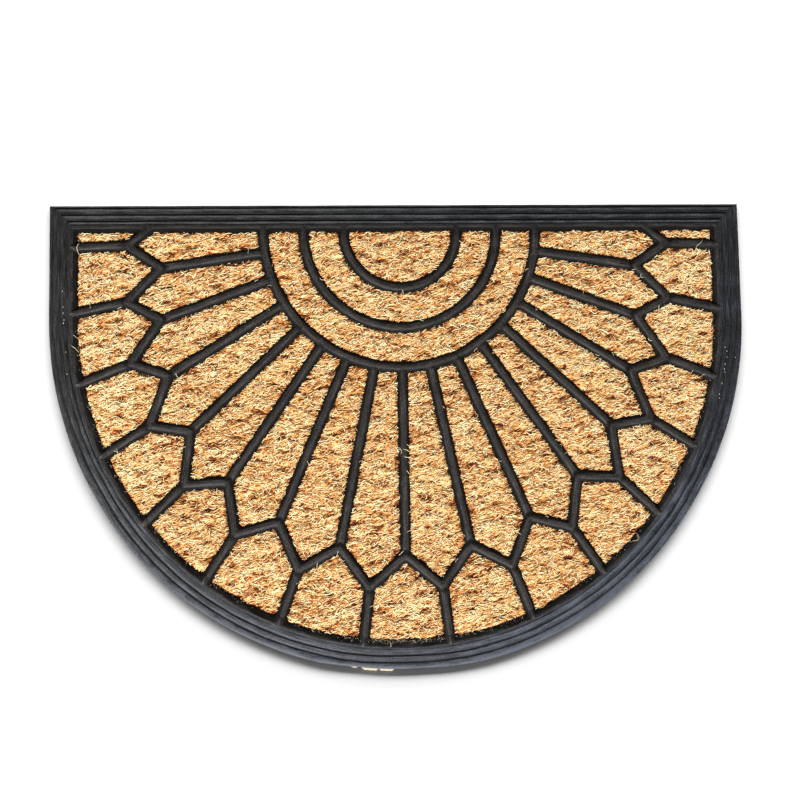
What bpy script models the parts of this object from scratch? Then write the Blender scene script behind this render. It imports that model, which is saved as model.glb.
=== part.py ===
"""Half-round doormat: a black rubber moulding pressed over one woven coir panel.

Metres, +Z up. The mat lies flat on the floor. X runs along the straight edge, +Y points
to the straight edge, and the origin is under the middle of the footprint. Angles of the
fan are measured at its centre from straight down the mat (-Y), positive to the right.
"""
import math

import bmesh
import bpy
from mathutils import Matrix, Vector

# Outline: a half circle below two short straight sides and one straight edge.
WIDTH = 0.600
DEPTH = 0.398
ARC_RADIUS = WIDTH / 2
STRAIGHT_EDGE_Y = DEPTH / 2
ARC_CENTRE = Vector((0.0, STRAIGHT_EDGE_Y - (DEPTH - ARC_RADIUS)))
ARC_STEPS = 48

# Fan of ribs, laid out by its centre lines. An inset is a distance in from the outline.
BEAD_INSET = 0.0188
BEAD_Y = STRAIGHT_EDGE_Y - BEAD_INSET
FAN_CENTRE = Vector((0.0, STRAIGHT_EDGE_Y - 0.0246))
RING_RADII = (0.0490, 0.0835, 0.1180)
SPOKES = 15
SPOKE_STEP = math.radians(11.65)
MIDDLE_SPOKE = (SPOKES + 1) / 2
ZIGZAG_INNER_INSET = 0.0950
ZIGZAG_OUTER_INSET = 0.0662
OUTER_RIB_LEAN = math.radians(0.8)

# Section of a rib and of the border's inner bead: half width and height, from the underside up.
RIB_SECTION = (
    (0.0047, 0.0033),
    (0.0047, 0.0056),
    (0.0035, 0.0076),
    (0.0015, 0.0090),
)
RIB_TOP_HALF_WIDTH, RIB_TOP = RIB_SECTION[-1]
RIB_UNDERSIDE = RIB_SECTION[0][1]

# Section of the stepped border: inset and height, from the inside of its foot outwards and up.
BORDER_SECTION = (
    (0.0160, RIB_UNDERSIDE),
    (0.0160, 0.0),
    (0.0, 0.0),
    (0.0, 0.0030),
    (0.0005, 0.0035),
    (0.0032, 0.0037),
    (0.0037, 0.0049),
    (0.0090, 0.0051),
    (0.0095, 0.0063),
    (0.0150, 0.0065),
    (0.0156, 0.0078),
    (BEAD_INSET - RIB_TOP_HALF_WIDTH, RIB_TOP),
)

# Woven coir panel: a thin sheet under the ribs that rises as a pad in each opening.
FIT_GAP = 0.0003
PAD_INSET = RIB_SECTION[0][0] + FIT_GAP
PANEL_EDGE_INSET = BORDER_SECTION[0][0] + FIT_GAP
PANEL_THICKNESS = 0.0030
ROW_PITCH = 0.0068
ROW_VALLEY = 0.0060
ROW_CREST = 0.0072
ROW_SNAP = 0.00005

# Rounded corners of the openings, as a radius about the ribs' centre lines.
CORNER_RADIUS = 0.0077
CORNER_STEPS = 2
CORNER_REACH = 0.0100
RING_SAMPLE = math.radians(8.0)
RIM_SAMPLES = (1 / 3, 2 / 3)

RUBBER_COLOUR = (0.045, 0.048, 0.052, 1.0)
RUBBER_ROUGHNESS = 0.55
COIR_COLOUR = (0.62, 0.40, 0.19, 1.0)
COIR_ROUGHNESS = 0.95
SHARP_ANGLE = math.radians(30)


def direction(angle):
    """Unit vector at an angle from straight down the mat."""
    return Vector((math.sin(angle), -math.cos(angle)))


def outline(inset):
    """The mat's outline moved in by inset, counter-clockwise from its top left corner."""
    radius = ARC_RADIUS - inset
    top = STRAIGHT_EDGE_Y - inset
    points = [Vector((-radius, top))]
    for step in range(ARC_STEPS + 1):
        angle = math.pi * (step / ARC_STEPS - 0.5)
        points.append(ARC_CENTRE + radius * direction(angle))
    points.append(Vector((radius, top)))
    return points


def reach(angle, inset):
    """Point where a ray from the fan's centre meets the outline moved in by inset."""
    ray = direction(angle)
    radius = ARC_RADIUS - inset
    start = FAN_CENTRE - ARC_CENTRE
    along = start.dot(ray)
    distance = math.sqrt(along * along - start.length_squared + radius * radius) - along
    point = FAN_CENTRE + distance * ray
    if point.y > ARC_CENTRE.y:
        point = FAN_CENTRE + radius / abs(ray.x) * ray
    return point


def spoke_angle(number):
    """Angle of a spoke. Half numbers are the zigzag's outer points between the spokes."""
    return (number - MIDDLE_SPOKE) * SPOKE_STEP


def zigzag_inner(number):
    return reach(spoke_angle(number), ZIGZAG_INNER_INSET)


def zigzag_outer(number):
    return reach(spoke_angle(number + 0.5), ZIGZAG_OUTER_INSET)


def outer_rib_angle(number):
    angle = spoke_angle(number + 0.5)
    return angle + OUTER_RIB_LEAN * math.sin(2 * angle)


def outer_rib_end(number):
    return reach(outer_rib_angle(number), BEAD_INSET)


def branch_point(number, beyond):
    """Point where the zigzag past its first or last outer point runs into the border's bead."""
    start = zigzag_outer(number)
    end = zigzag_inner(beyond)
    share = (BEAD_Y - start.y) / (end.y - start.y)
    return start.lerp(end, share)


def ring_end_angle(radius):
    """Angle at which a ring of the fan runs into the bead along the straight edge."""
    return math.acos((FAN_CENTRE.y - BEAD_Y) / radius)


def ring_arc(radius, start, end):
    """Points along a ring from one angle to another. Its ends are corners, kept clear of the rest."""
    margin = math.copysign(CORNER_REACH / radius, end - start)
    span = end - start - 2 * margin
    steps = math.ceil(abs(span) / RING_SAMPLE)
    between = [start + margin + span * step / steps for step in range(steps + 1)]
    points = [(FAN_CENTRE + radius * direction(start), True)]
    for angle in between:
        points.append((FAN_CENTRE + radius * direction(angle), False))
    points.append((FAN_CENTRE + radius * direction(end), True))
    return points


def ring_openings():
    """The half disc inside the first ring and the bands between the rings."""
    first = RING_RADII[0]
    openings = [ring_arc(first, -ring_end_angle(first), ring_end_angle(first))]
    for inner, outer in zip(RING_RADII, RING_RADII[1:]):
        outward = ring_arc(outer, -ring_end_angle(outer), ring_end_angle(outer))
        back = ring_arc(inner, ring_end_angle(inner), -ring_end_angle(inner))
        openings.append(outward + back)
    return openings


def sector_opening(number):
    """The long opening between two spokes, pointed where it meets the zigzag."""
    last_ring = RING_RADII[-1]
    start = spoke_angle(number)
    end = spoke_angle(number + 1)
    left = zigzag_inner(number)
    right = zigzag_inner(number + 1)
    if number == 0:
        start = -ring_end_angle(last_ring)
        left = branch_point(0, 0)
    if number == SPOKES:
        end = ring_end_angle(last_ring)
        right = branch_point(SPOKES, SPOKES + 1)
    corners = [(left, True), (zigzag_outer(number), True), (right, True)]
    return corners + ring_arc(last_ring, end, start)


def rim_opening(number):
    """The opening between two outer ribs, from the zigzag to the border."""
    start = outer_rib_angle(number - 1)
    end = outer_rib_angle(number)
    rim = []
    for share in RIM_SAMPLES:
        rim.append((reach(start + (end - start) * share, BEAD_INSET), False))
    corners_left = [(zigzag_outer(number - 1), True), (outer_rib_end(number - 1), True)]
    corners_right = [
        (outer_rib_end(number), True),
        (zigzag_outer(number), True),
        (zigzag_inner(number), True),
    ]
    return corners_left + rim + corners_right


def corner_openings():
    """The narrow openings in the two corners beside the straight edge."""
    side = ARC_RADIUS - BEAD_INSET
    left = [
        branch_point(0, 0),
        Vector((-side, BEAD_Y)),
        outer_rib_end(0),
        zigzag_outer(0),
    ]
    right = [
        zigzag_outer(SPOKES),
        outer_rib_end(SPOKES),
        Vector((side, BEAD_Y)),
        branch_point(SPOKES, SPOKES + 1),
    ]
    return [[(point, True) for point in corner] for corner in (left, right)]


def all_openings():
    """Every opening of the rubber, counter-clockwise along the ribs' centre lines."""
    openings = ring_openings()
    openings += [sector_opening(number) for number in range(SPOKES + 1)]
    openings += [rim_opening(number) for number in range(1, SPOKES + 1)]
    return openings + corner_openings()


def moved_in(opening, inset):
    """An opening's edge at a distance from the centre lines, with its corners rounded."""
    points = [point for point, is_corner in opening]
    loop = []
    for index, (point, is_corner) in enumerate(opening):
        before = (point - points[index - 1]).normalized()
        after = (points[(index + 1) % len(points)] - point).normalized()
        normal_before = Vector((-before.y, before.x))
        normal_after = Vector((-after.y, after.x))
        middle = (normal_before + normal_after) / (1 + normal_before.dot(normal_after))
        if not is_corner:
            loop.append(point + inset * middle)
            continue
        centre = point + CORNER_RADIUS * middle
        turn = -normal_before.angle_signed(normal_after)
        for step in range(CORNER_STEPS + 1):
            normal = Matrix.Rotation(turn * step / CORNER_STEPS, 2) @ normal_before
            loop.append(centre - (CORNER_RADIUS - inset) * normal)
    return loop


def add_loop(mesh, points, height):
    """A closed loop of edges at one height."""
    verts = [mesh.verts.new((point.x, point.y, height)) for point in points]
    return [mesh.edges.new((vert, verts[index - 1])) for index, vert in enumerate(verts)]


def add_walls(mesh, loops):
    """Faces between each loop of edges and the next."""
    for lower, upper in zip(loops, loops[1:]):
        bmesh.ops.bridge_loops(mesh, edges=lower + upper)


def add_flat(mesh, loops):
    """A flat face across a loop of edges, open where the other loops lie inside it."""
    edges = [edge for loop in loops for edge in loop]
    bmesh.ops.triangle_fill(mesh, use_beauty=True, edges=edges, normal=(0, 0, 1))


def material(name, colour, roughness):
    finish = bpy.data.materials.new(name)
    finish.use_nodes = True
    shader = finish.node_tree.nodes["Principled BSDF"]
    shader.inputs["Base Color"].default_value = colour
    shader.inputs["Roughness"].default_value = roughness
    shader.inputs["Metallic"].default_value = 0.0
    return finish


def finish_object(name, mesh, finish):
    """Close the bmesh into an object with its faces turned outwards."""
    bmesh.ops.recalc_face_normals(mesh, faces=mesh.faces)
    data = bpy.data.meshes.new(name)
    mesh.to_mesh(data)
    mesh.free()
    data.shade_smooth()
    data.set_sharp_from_angle(angle=SHARP_ANGLE)
    data.materials.append(finish)
    built = bpy.data.objects.new(name, data)
    bpy.context.scene.collection.objects.link(built)
    return built


def rubber_moulding():
    """The stepped border and every rib, as one moulding."""
    mesh = bmesh.new()
    border = [add_loop(mesh, outline(inset), height) for inset, height in BORDER_SECTION]
    add_walls(mesh, border)
    undersides = [border[0]]
    tops = [border[-1]]
    for opening in all_openings():
        walls = [add_loop(mesh, moved_in(opening, half), height) for half, height in RIB_SECTION]
        add_walls(mesh, walls)
        undersides.append(walls[0])
        tops.append(walls[-1])
    add_flat(mesh, undersides)
    add_flat(mesh, tops)
    finish = material("rubber_black", RUBBER_COLOUR, RUBBER_ROUGHNESS)
    return finish_object("rubber_moulding", mesh, finish)


def row_height(y):
    """Height of the woven rows: straight slopes between each crest and valley."""
    phase = (y / ROW_PITCH) % 1.0
    return ROW_VALLEY + (ROW_CREST - ROW_VALLEY) * abs(2 * phase - 1)


def raise_rows(mesh, top):
    """Cut a pad's flat top along the crests and valleys of its rows, and lift them."""
    lowest = min(vert.co.y for vert in top.verts)
    highest = max(vert.co.y for vert in top.verts)
    half_pitch = ROW_PITCH / 2
    faces = [top]
    for line in range(math.ceil(lowest / half_pitch), math.floor(highest / half_pitch) + 1):
        edges = dict.fromkeys(edge for face in faces for edge in face.edges)
        verts = dict.fromkeys(vert for face in faces for vert in face.verts)
        cut = bmesh.ops.bisect_plane(
            mesh,
            geom=faces + list(edges) + list(verts),
            dist=ROW_SNAP,
            plane_co=(0, line * half_pitch, 0),
            plane_no=(0, 1, 0),
        )
        faces = [item for item in cut["geom"] if isinstance(item, bmesh.types.BMFace)]
    for face in faces:
        for vert in face.verts:
            vert.co.z = row_height(vert.co.y)


def coir_panel():
    """One woven panel: thin under the rubber, with a raised pad of rows in each opening."""
    mesh = bmesh.new()
    lower_edge = add_loop(mesh, outline(PANEL_EDGE_INSET), 0.0)
    upper_edge = add_loop(mesh, outline(PANEL_EDGE_INSET), PANEL_THICKNESS)
    add_walls(mesh, [lower_edge, upper_edge])
    add_flat(mesh, [lower_edge])
    sheet = [upper_edge]
    for opening in all_openings():
        foot = add_loop(mesh, moved_in(opening, PAD_INSET), PANEL_THICKNESS)
        head = add_loop(mesh, moved_in(opening, PAD_INSET), ROW_VALLEY)
        add_walls(mesh, [foot, head])
        sheet.append(foot)
        top = bmesh.ops.contextual_create(mesh, geom=head)["faces"][0]
        raise_rows(mesh, top)
    add_flat(mesh, sheet)
    finish = material("coir_woven", COIR_COLOUR, COIR_ROUGHNESS)
    return finish_object("coir_panel", mesh, finish)


def main():
    for item in list(bpy.data.objects):
        bpy.data.objects.remove(item, do_unlink=True)
    rubber_moulding()
    coir_panel()


main()
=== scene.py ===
"""Looks of the half-round coir doormat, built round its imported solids. Metres, +Z up.

The straight edge lies towards +Y. Angles of the fan are measured at its centre from
straight down the mat (-Y), positive to the right.
"""
import math

import bmesh
import bpy
import numpy as np
from mathutils import Matrix, Vector
from mathutils.geometry import delaunay_2d_cdt


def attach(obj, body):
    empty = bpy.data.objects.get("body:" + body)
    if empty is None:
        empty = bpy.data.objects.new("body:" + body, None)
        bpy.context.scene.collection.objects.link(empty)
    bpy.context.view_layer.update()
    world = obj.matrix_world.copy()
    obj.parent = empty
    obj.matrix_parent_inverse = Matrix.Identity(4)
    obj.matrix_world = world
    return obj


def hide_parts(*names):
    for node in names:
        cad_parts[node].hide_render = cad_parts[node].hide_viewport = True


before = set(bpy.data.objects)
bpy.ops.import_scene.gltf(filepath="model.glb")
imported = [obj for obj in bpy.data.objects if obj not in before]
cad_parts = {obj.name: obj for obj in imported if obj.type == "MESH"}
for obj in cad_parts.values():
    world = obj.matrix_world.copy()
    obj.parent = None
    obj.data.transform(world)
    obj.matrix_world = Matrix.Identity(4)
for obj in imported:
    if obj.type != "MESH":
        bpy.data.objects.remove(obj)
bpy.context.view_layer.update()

# Outline and fan of ribs, as in the solids. An inset is a distance in from the outline.
ARC_RADIUS = 0.300
STRAIGHT_EDGE_Y = 0.199
ARC_CENTRE = Vector((0.0, 0.101))
BEAD_INSET = 0.0188
BEAD_Y = STRAIGHT_EDGE_Y - BEAD_INSET
FAN_CENTRE = Vector((0.0, STRAIGHT_EDGE_Y - 0.0246))
RING_RADII = (0.0490, 0.0835, 0.1180)
SPOKES = 15
SPOKE_STEP = math.radians(11.65)
MIDDLE_SPOKE = (SPOKES + 1) / 2
ZIGZAG_INNER_INSET = 0.0950
ZIGZAG_OUTER_INSET = 0.0662
OUTER_RIB_LEAN = math.radians(0.8)
CORNER_RADIUS = 0.0077
RIM_CORNER_RADIUS = 0.0064
SHARP_RADIUS = 0.0056
CROWN_TIGHTNESS = 0.22
CORNER_REACH = 0.0100
CORNER_STEPS = 6
RING_SAMPLE = math.radians(2.0)
RIM_SAMPLES = tuple(share / 12 for share in range(1, 12))
EDGE_STEP = 0.0016

# Section of a rib from the underside up: half width, height, how far its edge wavers, its tone
# with painted light and shade (0 for black, painted shade on the flanks, up to 1 for the palest, a
# painted highlight on the crown), and its shares of the rubber spilled over the bead and of the shift of the
# bead's foot.
RIB_SECTION = (
    (0.0047, 0.0033, 0.00004, 0.0, 0, 1),
    (0.0049, 0.0047, 0.00030, 0.0, 1, 1),
    (0.0048, 0.0055, 0.00040, 0.05, 1, 1),
    (0.0045, 0.0062, 0.00034, 0.05, 0.9, 0.85),
    (0.0040, 0.0069, 0.00020, 0.08, 0.6, 0.5),
    (0.0034, 0.0075, 0.00010, 0.10, 0.3, 0.15),
    (0.0028, 0.0080, 0.00006, 0.22, 0, 0),
    (0.0022, 0.0085, 0.00004, 0.45, 0, 0),
    (0.0015, 0.0088, 0.00003, 0.55, 0, 0),
    (0.0003, 0.0090, 0.0, 0.50, 0, 0),
)
RIB_HALF_WIDTH = 0.0047
RIB_RIPPLES = (0.0018, 0.003, 0.006, 0.014)
# The ribs are darker beside the straight edge, and painted shade takes their pale tone away in a groove.
TOP_FADE = (0.168, 0.173)
TOP_DARKENING = 0.2
GROOVE_SHADE_DEPTH = 0.0005
# Grooves where ribs meet: how deep, how wide, and how far from the centre line of the rib
# that is met, with the spread of that place.
SPOKE_NOTCH = 0.0015
RING_NOTCH = 0.0006
NOTCH_HALF_WIDTH = 0.0027
ZIGZAG_NOTCH_PLACE = (0.0034, 0.0011)
RING_NOTCH_PLACE = (0.0030, 0.0008)
# The attribute "across" is the distance in from the edge on the border, below
# BORDER_LANES_END but for its two corners. It starts at RIB_LANE on the ribs and at TIP_LANE
# on their rounded ends.
BORDER_LANES_END = 0.024
RIB_LANE = 0.03
TIP_LANE = 0.05

# The moulding isn't quite true. By angle round the arc, in mm: insets of the border's three
# creases, and how far in from the solids' places the crown of its bead and the foot of the
# bead's inner flank lie. The first and last values hold down the sides.
BORDER_ANGLES = (-90, -75, -60, -50, -40, -30, -20, -10, 0, 10, 20, 30, 40, 50, 60, 75, 90)
CREASE_INSETS = (
    (3.0, 5.5, 5.8, 4.2, 3.5, 3.6, 3.9, 4.1, 5.4, 4.1, 3.8, 4.4, 4.5, 5.3, 6.3, 6.3, 3.3),
    (9.4, 11.2, 11.4, 10.3, 9.6, 9.7, 9.9, 9.9, 11.2, 9.9, 9.8, 10.6, 10.8, 11.5, 12.4, 12.2, 8.9),
    (15.2, 15.2, 15.5, 15.3, 15.5, 16.0, 16.2, 16.8, 16.9, 16.2, 16.0, 17.0, 17.2, 18.2, 19.0, 19.0, 14.8),
)
BEAD_SHIFTS = (0, -0.2, -0.4, -1.1, -1.6, -1.7, -1.5, -1.6, -1.8, -1.4, -1.4, -0.9, -0.4, 0.3, 1.1, 1.6, 1.1)
FLANK_SHIFTS = (1.5, 1.5, 0.5, 0, -0.2, 0.1, 0, 0.5, 1.3, 0.8, 0.1, 1.0, 0.8, 1.7, 2.4, 2.6, 2.2)
STRAIGHT_FLANK_SHIFT = 0.6
SHIFT_FADE = (0.0245, 0.0340)
# How far the thin rim reaches past the solids' outline, by angle, in mm.
RIM_ANGLES = (-90, -75, -60, -50, -40, -14, -8, 3, 9, 14, 30, 40, 50, 58, 90)
RIM_REACH = (0.0, 0.3, 1.2, 2.3, 2.7, 2.4, 0.5, 0.4, 1.8, 2.6, 2.5, 2.1, 1.2, 0.4, 0.8)
# Painted light and shade: how much paler the border's steps and its rim are than elsewhere, by angle.
PAINTED_LIGHT_ANGLES = (-90, -68, -42, -19, 0, 19, 42, 67, 90)
PAINTED_LIGHT = (0.01, 0.13, 0.06, 0.07, -0.04, 0.11, 0.14, 0.00, 0.04)
RIM_PAINTED_LIGHT = (-0.10, 0.05, 0.30, 0.40, 0.28, 0.48, 0.15, -0.08, -0.15)
# How firmly the innermost crease is cut, by angle.
CUT_ANGLES = (-75, -60, -45, 5, 20, 30)
CUT = (0.8, 0.5, 0.3, 0.3, 0.7, 1.0)
# Where the border's steps turn shallow towards the sides, and where the steps' painted highlight
# goes over from their outer side to their middle and on to their inner side, in degrees.
SHALLOW_FADE = (50, 85)
OUTER_FADE = (-25, -5)
INNER_FADE = (5, 40)
# Base tone of the border, painted light on the arc, how far its steps differ in painted light and
# shade, and the painted shade at the foot of the arc and towards the right of the straight edge.
BORDER_BASE_TONE = 0.40
ARC_PAINTED_LIGHT = 0.12
STEP_PAINTED_LIGHT = 0.62
SIDE_STEP_PAINTED_LIGHT = 0.16
FOOT_PAINTED_SHADE = 0.14
FOOT_WIDTH = 12
STRAIGHT_PAINTED_SHADE = 0.10
STRAIGHT_FADE = (-0.1, 0.2)
# Fine waves of the rim and of the creases: height, lengths and, for the creases, a seed.
RIM_WAVE = 0.00006
RIM_RIPPLES = (0.012, 0.05)
CREASE_WAVES = ((0.00010, (0.12, 0.07), 31), (0.00005, (0.011, 0.006), 41))
# Waves of the bead's inner line, and rubber spilled over it at the foot of the arc.
BEAD_WAVE = 0.00045
BEAD_WAVE_FADE = (0.0245, 0.0300)
BEAD_RIPPLES = (0.009, 0.016, 0.03)
SPILL = 0.0016
SPILL_X = (0.004, 0.022)
SPILL_BELOW_Y = -0.165
SPILL_RIPPLES = (0.006, 0.011, 0.02)

# Creases along the straight edge: each one's inset, and the heights of the steps on its two sides.
CREASES = (
    (0.0023, 0.0037, 0.0050),
    (0.0084, 0.0051, 0.0063),
    (0.0143, 0.0065, 0.0077),
)
# Section of one crease and the step inside it: distance in from the crease, share of the
# crease's depth, share of the step's rise, and painted light and shade where the step's painted
# highlight lies on its outer side, in its middle or on its inner side.
CREASE_SECTION = (
    (-0.00085, 0.0, 0.0, 0.45, 0.55, 0.90),
    (-0.00045, 0.35, 0.0, 0.0, 0.05, 0.15),
    (0.0, 1.0, 0.0, 0.0, 0.0, 0.0),
    (0.00035, 0.30, 0.0, 0.0, 0.0, 0.0),
    (0.00055, 0.0, 0.45, 0.05, 0.02, 0.0),
    (0.00090, 0.0, 0.80, 0.70, 0.30, 0.15),
    (0.00160, 0.0, 0.95, 1.05, 0.65, 0.35),
    (0.00240, 0.0, 1.0, 0.95, 0.90, 0.55),
    (0.00360, 0.0, 1.03, 0.65, 0.95, 0.80),
    (0.00460, 0.0, 1.02, 0.50, 0.80, 1.00),
)
CREASE_DEPTH = 0.0010
INNER_CREASE_LIMIT = 0.0172
# The heights across the whole border, as insets and heights, for what lies on it.
BORDER_STEPS = (
    (0.0, 0.0024), (0.0013, 0.0037), (0.0045, 0.0037), (0.0049, 0.0050), (0.0102, 0.0051),
    (0.0108, 0.0063), (0.0163, 0.0065), (0.0170, 0.0077), (0.0188, 0.0090),
)
# The border's foot and outer face up to its rim, and its bead: inset, height, and tone with painted light
# and shade.
FOOT_SECTION = (
    (0.0160, 0.0033, 0.2), (0.0160, 0.0, 0.2), (0.0003, 0.0, 0.3), (0.0, 0.0003, 0.3),
    (0.0, 0.0024, 0.45), (0.0002, 0.0031, 0.7), (0.0007, 0.0035, 0.8), (0.0013, 0.0037, 0.7),
)
BEAD_SECTION = (
    (0.0178, 0.0079, 0.35), (0.0180, 0.0084, 0.40), (0.0182, 0.0087, 0.55), (0.0186, 0.0090, 0.60),
)
# The outer ribs' rounded ends, which run out over the bead: insets of their start and end,
# height of their foot, and their shoulder (share of the half width, drop from the crest, share
# of the crest's painted light). Sections along them: share along, half width, crest's height, and tone with
# a painted highlight towards the end.
TIP_REACH = (0.0262, 0.0186)
TIP_FOOT = 0.0080
TIP_SHOULDER = (0.8, 0.0002, 0.6)
TIP_SECTION = (
    (0.0, 0.00230, 0.00885, 0.35), (0.2, 0.00240, 0.00912, 0.42), (0.4, 0.00240, 0.00928, 0.48),
    (0.6, 0.00240, 0.00938, 0.58), (0.75, 0.00230, 0.00942, 0.70), (0.88, 0.00205, 0.00936, 0.85),
    (0.96, 0.00160, 0.00920, 0.85), (1.0, 0.00090, 0.00890, 0.60),
)
ARC_STEPS = 280
SIDE_STEPS = 28
TOP_STEPS = 170

# Weave of the coir: rows of lens-shaped floats, each row half a repeat on from the last.
ROW_PITCH = 0.0068
REPEAT = 0.0402
REPEAT_START = -0.03
ROW_RISE = 0.004
COLUMN_LEAN = 0.028
FLOAT_HALF_LENGTH = 0.0168
FLOAT_HALF_WIDTH = 0.0057
FLOAT_TILT = math.radians(2.0)
FLOAT_ROUNDNESS = 1.6
# Random straying of each float: place along and across, tilt, size, height and tone.
FLOAT_SPREAD = (0.0013, 0.0005, math.radians(3.0), 0.06, 0.0002, 0.035)
FLOAT_TABLE = (96, 32)
VALLEY = 0.0048
CREST_RISE = 0.0017
PAD_INSET = 0.0050
PAD_EDGE_DROP = 0.0010
PAD_EDGE_REACH = 0.0050
PANEL_EDGE_INSET = 0.0163
PANEL_THICKNESS = 0.0030
# Points of the weave's relief: how far apart, how far out, and how clear of the pad's edge.
GRID_STEP = 0.0023
GRID_CORNER = (0.285, 0.180)
GRID_CLEARANCE = 0.0008

# Loose fibres from the bottom layer up: number, least and most lift, points along each, and tone, darker
# lower down as painted shade.
FIBRE_LAYERS = (
    (8000, 0.0, 0.0003, 4, 0.38), (8000, 0.0001, 0.0005, 4, 0.56),
    (6500, 0.0002, 0.0007, 5, 0.76), (6500, 0.0003, 0.0009, 5, 0.88),
)
FIBRE_FIELD = ((-0.282, -0.181), (0.282, 0.181))
FIBRE_CLEARANCE = 0.0045
FIBRE_RADIUS = (0.00023, 0.00050)
FIBRE_LENGTH = (0.0044, 0.0098)
FIBRE_BEND = 0.75
CURL_LIFT = (0.0003, 0.0013)
CURL_LENGTH = (0.006, 0.010)
CURL_BEND = 1.1
SPARE_FIBRES = 1.6
BARE_VALLEY = 0.34
# Share of the fibres that lie wild, in the layers and among the curls, and how much shorter
# and more bent those are.
WILD_FIBRES = 0.22
WILD_CURLS = 0.5
WILD_SHORTER = 0.75
WILD_BENT = 1.8
# The coir's ragged outer edge, how near a rib it is held down, and how deep ends are tucked.
RAGGED_EDGE = 0.0007
RAGGED_RIPPLES = (0.006, 0.013)
HELD_DOWN = 0.0055
TUCKED_ENDS = 0.0004
# Slant of a fibre to its float, how it changes over the float, and its random spread.
TWIST = math.radians(17)
TWIST_OVER_FLOAT = 0.45
TWIST_SPREAD = math.radians(20)
# Tones: painted light towards the sides of the mat, on the floats' crests and on higher fibres,
# with painted shade in the valleys and on lower fibres, and some fibres dark.
TONE_SPREAD = 0.17
HEIGHT_PAINTED_LIGHT = 0.10
MEAN_LIFT = 0.0004
MIDDLE_TONE = 0.015
SIDE_PAINTED_LIGHT = 0.105
SIDE_PAINTED_LIGHT_REACH = (0.14, 0.25)
DARK_FIBRES = 0.13
DARK_TONE = 0.42
# Painted light along the top of each fibre and painted shade on its lower sides.
FIBRE_TOP_PAINTED_LIGHT = 0.10
FIBRE_EDGE_PAINTED_SHADE = -0.42

# Single fibres that stray over the rubber, as places in mm.
STRAYS = (
    ((-131.1, 161.7), (-130.6, 159.1), (-130.9, 155.6)),
    ((-273.1, 165.9), (-275.3, 163.3), (-275.3, 159.4), (-273.4, 155.1)),
    ((-276.7, 170.5), (-274.2, 167.4)),
    ((266.6, 166.6), (265.1, 163.0), (260.5, 160.4), (260.2, 156.4)),
    ((194.8, -96.0), (198.8, -95.7), (201.1, -92.7), (198.4, -89.3)),
    ((-279.6, 78.0), (-276.6, 75.8), (-273.3, 72.0)),
    ((-278.4, 86.9), (-273.8, 83.9)),
    ((-0.9, -13.9), (1.6, -14.5), (5.4, -16.6)),
    ((-0.2, -20.4), (3.2, -21.2), (6.6, -21.0)),
    ((-4.3, -12.2), (-1.8, -15.6), (-2.7, -18.2)),
    ((2.6, -9.7), (6.0, -13.2)),
    ((-14.8, -175.6), (-14.0, -177.3), (-14.2, -179.8)),
    ((-130.2, 175.2), (-129.6, 169.0)),
    ((-126.2, 175.6), (-126.8, 170.5)),
)
# Bits of coir caught in the border's creases, as places and lengths in mm.
CAUGHT = (
    (-287.7, 124.8, 1.2), (-287.2, 111.1, 2.0), (-287.2, 106.0, 1.4), (-286.3, 100.0, 1.5),
    (-286.7, 97.4, 1.9), (-284.5, 72.7, 1.0), (-283.6, 54.0, 1.3), (283.3, 70.7, 0.9),
    (284.9, 67.1, 1.0), (284.7, 61.9, 1.0), (282.7, 55.7, 1.2), (282.0, 51.3, 1.4),
    (282.4, 48.7, 0.9), (293.2, 61.8, 1.0), (279.3, 39.1, 1.6), (276.7, 29.5, 1.5),
    (276.5, 26.0, 0.8),
)
# Slivers of coir that show under the rim: angles round the arc, how far they reach out in mm,
# and their thickness.
SLIVERS = (
    (-9.2, -8.0, 1.6, 0.0010), (-7.4, -4.7, 2.4, 0.0020), (-4.6, -2.2, 2.2, 0.0017),
)
SLIVER_STEPS = 16
# Hairs over the edges of the ribs, and hairs of the dusty fray, most at the foot of the arc.
LOOSE_HAIRS = 70
RIB_EDGE = (0.0030, 0.0052)
HAIR_FIELD = ((-0.27, -0.17), (0.27, 0.17))
HAIR_LENGTH = (0.0025, 0.0055)
HAIR_RADIUS = (0.00016, 0.00026)
STRAY_STEPS = 10
FRAY_HAIRS = 560
FRAY_AT_MIDDLE = 260
FRAY_SPREAD = 5.5
FRAY_LENGTH = (0.0007, 0.0024)
FRAY_RADIUS = (0.00012, 0.00026)
FRAY_STEPS = 5

# Colours, from dark to pale.
FIBRE_COLOURS = (
    (0.0, (0.045, 0.008, 0.002)),
    (0.22, (0.31, 0.074, 0.012)),
    (0.48, (0.70, 0.345, 0.100)),
    (0.75, (0.72, 0.580, 0.275)),
    (1.0, (0.77, 0.72, 0.49)),
)
DUST_COLOURS = ((0.0, (0.045, 0.038, 0.026)), (1.0, (0.50, 0.44, 0.33)))
RUBBER_COLOURS = (
    (0.0, (0.0014, 0.0013, 0.0012)),
    (0.30, (0.0070, 0.0071, 0.0071)),
    (0.65, (0.0215, 0.0220, 0.0226)),
    (1.0, (0.0600, 0.0615, 0.0640)),
)
# The border's tint goes from neutral at the top left to bluish at the lower right.
BORDER_TINTS = ((0.0, (0.99, 0.98, 0.98)), (1.0, (0.88, 1.0, 1.24)))
BLUE_LEAN = (1.2, -1.4, 0.0)
BLUE_REACH = (-0.45, 0.55)
RIB_TINT = (1.08, 0.955, 0.885, 1.0)
SPECK_COLOUR = (0.30, 0.29, 0.26, 1.0)
# Strands painted on the woven coir under the fibres: stretch, slants in degrees, bend, and
# where the crossing ones lie on top.
STRAND_SCALE = (150.0, 1250.0, 0.0)
STRAND_SLANTS = (-24, 4)
STRAND_BEND = 0.0032
CROSSED_ABOVE = 0.55
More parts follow.
